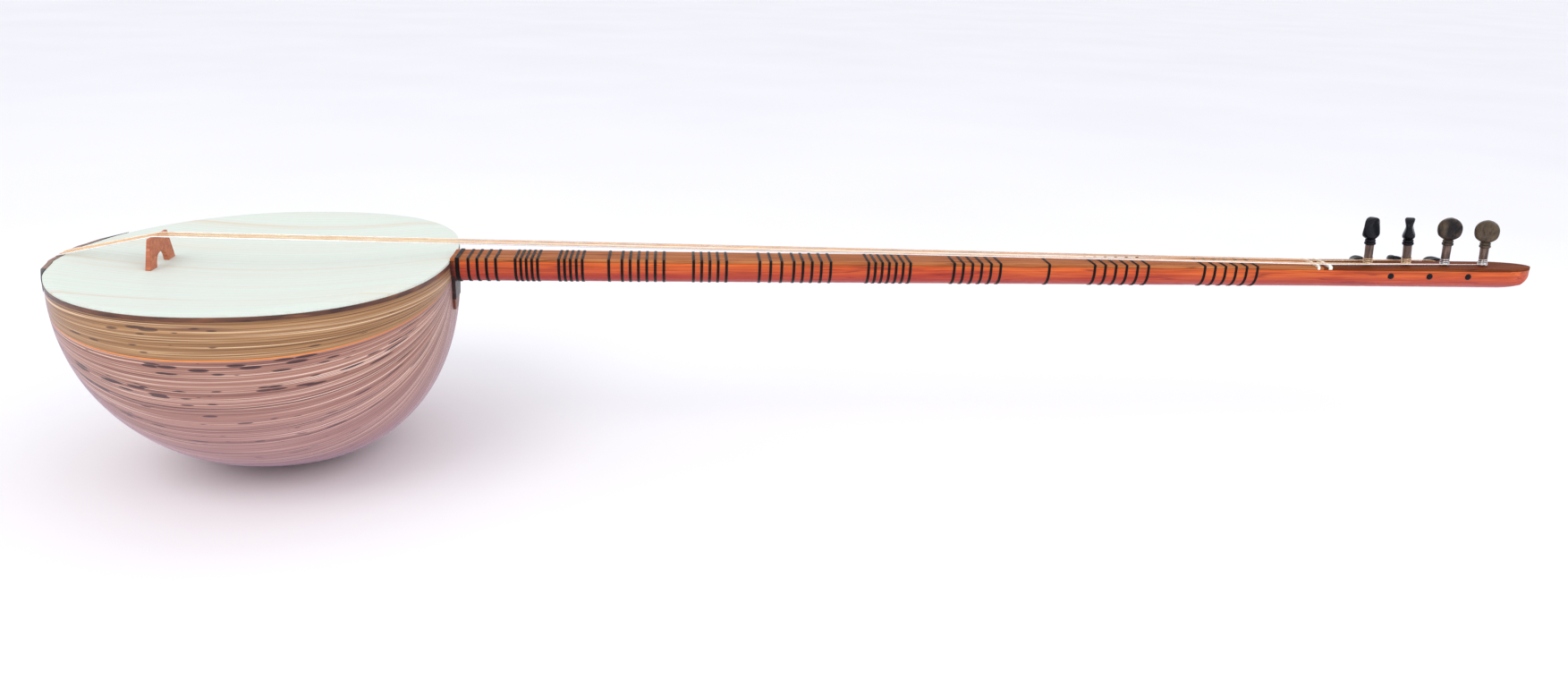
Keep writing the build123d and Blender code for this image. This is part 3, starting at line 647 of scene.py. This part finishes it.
def peg_piece(number, matrix, depth, out, body):
    """Tapered shank, beaded collar and a round waisted thumb piece."""
    build = Build()
    angles = [2 * pi * k / AROUND for k in range(AROUND)]

    def turned(profile, mark):
        rings = [[(r * MM * cos(a), r * MM * sin(a), h * MM) for a in angles] for r, h in profile]
        build.skin(rings, mark)

    shoulder = (SHANK_TIP_R, -depth + 0.8)
    turned([(0.01, -depth), (2.3, -depth), (2.65, -depth + 0.25), shoulder], 0)
    turned([shoulder, (SHANK_FACE_R, 0), (SHANK_TOP_R, out - 0.1)], 1)
    turned([(r, out + h) for r, h in COLLAR_PROFILE], 0)
    rings = []
    for i in range(HEAD_ROWS + 1):
        t = i / HEAD_ROWS
        height = HEAD_HEIGHT * (0.5 - 0.5 * cos(pi * (0.06 + 0.94 * t))) if i else 0.0
        share = height / HEAD_HEIGHT
        wide = smooth_through(HALF_WIDE, share) if t < 1 else 0.0
        wide = wide if share < 0.5 else HEAD_HALF * sqrt(max(0.0, 1 - ((share - 0.5) / 0.5) ** 2.15))
        thick = smooth_through(HALF_THICK, share) * (1 - 0.3 * max(0.0, (share - 0.93) / 0.07) ** 2)
        power = 2.0 + 1.0 * min(1.0, share / 0.25)
        ring = []
        for a in angles:
            x = wide * (1 if cos(a) > 0 else -1) * abs(cos(a)) ** (2 / power)
            y = thick * (1 if sin(a) > 0 else -1) * abs(sin(a)) ** (2 / power)
            ring.append((x * MM, y * MM, (out + COLLAR + height) * MM))
        rings.append(ring)
    build.skin(rings, 0)
    dark = EBONY_WARM if number in WARM_PEGS else EBONY
    mesh = build.mesh(f"peg_{number}", matrix, 55)
    finished(f"peg_{number}_turned", mesh, [dark, SHANK], body, [f"peg_{number}"])


WINDING_TURNS = 4.6


def winding_piece(number, matrix, radius, material, body):
    """The string's turns on the shank."""
    build = Build()
    steps = int(WINDING_TURNS * 20)
    path = []
    for i in range(steps + 1):
        t = i / steps
        reach = 3.55 * MM + radius * (1.0 + 0.5 * sin(5.0 * t + number))
        turn = 2 * pi * WINDING_TURNS * t - pi / 2
        path.append((reach * cos(turn), reach * sin(turn), (0.9 + 6.2 * t ** 1.5) * MM))
    build.tube(path, radius)
    finished(f"winding_{number}_wound", build.mesh(f"winding_{number}", matrix), [material], body,
             [f"winding_{number}"])


# radius of the wire in millimetres, its finish and its slot
THIN_STEEL = (0.30, STEEL, "string_steel")
MIDDLE_BRONZE = (0.34, BRONZE, "string_bronze")
THICK_BRONZE = (0.40, BRONZE, "string_bronze")
WIRES = {1: THIN_STEEL, 2: THIN_STEEL, 3: THICK_BRONZE, 4: MIDDLE_BRONZE, 5: THICK_BRONZE,
         6: MIDDLE_BRONZE, 7: THIN_STEEL}

PEG_PITCH = 37.0 * MM
# number, lean along the head, spin about the shank and height of the collar, from the nut on
TOP_PEGS = ((4, -3.8, 28.0, 18.6), (3, -5.9, 56.0, 18.8), (2, -2.4, -34.0, 18.8), (1, -4.0, -38.0, 17.0))
FIRST_TOP_PEG_U = 811.7 * MM
TOP_PEG_DEPTH = 19.5
# number and spin; these go through the head from the far side
SIDE_PEGS = ((7, 6.0), (6, 26.0), (5, -5.0))
FIRST_SIDE_PEG_U = 830.3 * MM
SIDE_PEG_Y, SIDE_PEG_W = 14.6 * MM, -8.4 * MM
SIDE_LEAN, SIDE_TURN = -6.5, -92
SIDE_PEG_DEPTH, SIDE_PEG_OUT = 30.0, 18.6


def turn_about(axis, degrees):
    return Matrix.Rotation(radians(degrees), 4, axis)


def peg_and_winding(number, spot, spin, depth, out):
    body = f"tuner_{number}"
    wire, material, slot = WIRES[number]
    peg_piece(number, spot @ turn_about("Z", spin), depth, out, body)
    winding_piece(number, spot, wire * MM, material, body)


for place, (number, lean, spin, out) in enumerate(TOP_PEGS):
    spot = NECK @ Matrix.Translation((FIRST_TOP_PEG_U + place * PEG_PITCH, 0, 0)) @ turn_about("Y", lean)
    peg_and_winding(number, spot, spin, TOP_PEG_DEPTH, out)
for place, (number, spin) in enumerate(SIDE_PEGS):
    spot = NECK @ Matrix.Translation((FIRST_SIDE_PEG_U + place * PEG_PITCH, SIDE_PEG_Y, SIDE_PEG_W))
    spot = spot @ turn_about("Z", SIDE_LEAN) @ turn_about("X", SIDE_TURN)
    peg_and_winding(number, spot, spin, SIDE_PEG_DEPTH, SIDE_PEG_OUT)


# ---- strings and pins -----------------------------------------------------------------
for number, (_, material, _) in WIRES.items():
    paint(material, f"string_{number}")

PIN_PITCH = 3.4 * MM
PIN_Z = RIM_Z - 7.0 * MM
STRIP_X = TAIL_X - 4.0 * MM         # outside of the tail strip
LOOPS = ((1.0 * MM, 1.75 * MM), (1.9 * MM, 1.6 * MM))   # distance from the strip, radius

build = Build()
for i in range(7):
    y = PIN_PITCH * (i - 3)
    for lift, size in LOOPS:
        angles = [2 * pi * k / 16 for k in range(16)]
        ring = [(STRIP_X - lift, y + size * cos(a), PIN_Z + size * sin(a)) for a in angles]
        build.tube(ring, 0.32 * MM, loop=True)
finished("string_loops", build.mesh("string_loops"), [BRONZE], "body")

# ---- the other solids, with their edges eased -------------------------------------------
eased("neck", 0.5 * MM, NECK_WOOD)
eased("fingerboard", 0.6 * MM, BOARD_WOOD)
eased("head_plate", 0.6 * MM, PLATE_WOOD)
eased("heel_cap", 0.5 * MM, HEEL_WOOD)
eased("heel_tip", 0.5 * MM, HEEL_TIP_WOOD)
eased("tail_strip", 0.5 * MM, TAIL_WOOD)
# the ends of the tail strip are black ebony: the strip's dark wood, with its shaded ends painted black as
# shade
eased("tail_ends", 0.5 * MM, EBONY)
eased("string_pins", 0.2 * MM, BRASS)
eased("nut_first", 0.25 * MM, BONE)
eased("nut_second", 0.25 * MM, BONE)
eased("bridge", 0.35 * MM, BRIDGE_WOOD, "bridge_body")

# ---- floor, light and camera ----------------------------------------------------------
FLOOR_HALF = 40
floor_corners = [(FLOOR_HALF * i, FLOOR_HALF * j, 0) for i, j in ((-1, -1), (1, -1), (1, 1), (-1, 1))]
floor_mesh = bpy.data.meshes.new("floor")
floor_mesh.from_pydata(floor_corners, [], [(0, 1, 2, 3)])
floor_mesh.materials.append(FLOOR)
floor = bpy.data.objects.new("floor", floor_mesh)
bpy.context.scene.collection.objects.link(floor)

bpy.context.scene.view_settings.view_transform = "Standard"
world = bpy.data.worlds.new("studio")
bpy.context.scene.world = world
world.use_nodes = True
background = world.node_tree.nodes["Background"]
background.inputs["Color"].default_value = (0.96, 0.965, 1.0, 1)
background.inputs["Strength"].default_value = 1.02


def area_light(name, place, aim, size, power, colour):
    data = bpy.data.lights.new(name, "AREA")
    data.shape = "RECTANGLE"
    data.size, data.size_y = size
    data.energy = power
    data.color = colour
    lamp = bpy.data.objects.new(name, data)
    lamp.location = place
    lamp.rotation_mode = "QUATERNION"
    lamp.rotation_quaternion = (Vector(aim) - Vector(place)).to_track_quat("-Z", "Y")
    bpy.context.scene.collection.objects.link(lamp)


area_light("key", (-0.9, -1.4, 1.9), (0.2, 0, 0.1), (1.4, 1.4), 15, (1.0, 0.98, 0.95))
area_light("fill", (1.6, -1.2, 1.3), (0.5, 0, 0.1), (1.6, 1.2), 8, (0.94, 0.95, 1.0))

# the camera, turned from +Y towards +X by yaw, down by pitch and rolled a little
CAMERA_PLACE = (0.3397, -1.0125, 0.4316)
CAMERA_LENS = 27.55
yaw, pitch, roll = radians(5.454), radians(17.984), radians(1.768)
forward = Vector((sin(yaw) * cos(pitch), cos(yaw) * cos(pitch), -sin(pitch)))
right = Vector((cos(yaw), -sin(yaw), 0))
up = right.cross(forward)
tilted_right = cos(roll) * right + sin(roll) * up
tilted_up = cos(roll) * up - sin(roll) * right
camera_data = bpy.data.cameras.new("camera")
camera_data.sensor_width = 36.0
camera_data.lens = CAMERA_LENS
camera_data.clip_start = 0.01
camera = bpy.data.objects.new("camera", camera_data)
turn = Matrix((tilted_right, tilted_up, -forward)).transposed().to_4x4()
camera.matrix_world = Matrix.Translation(CAMERA_PLACE) @ turn
bpy.context.scene.collection.objects.link(camera)
bpy.context.scene.camera = camera
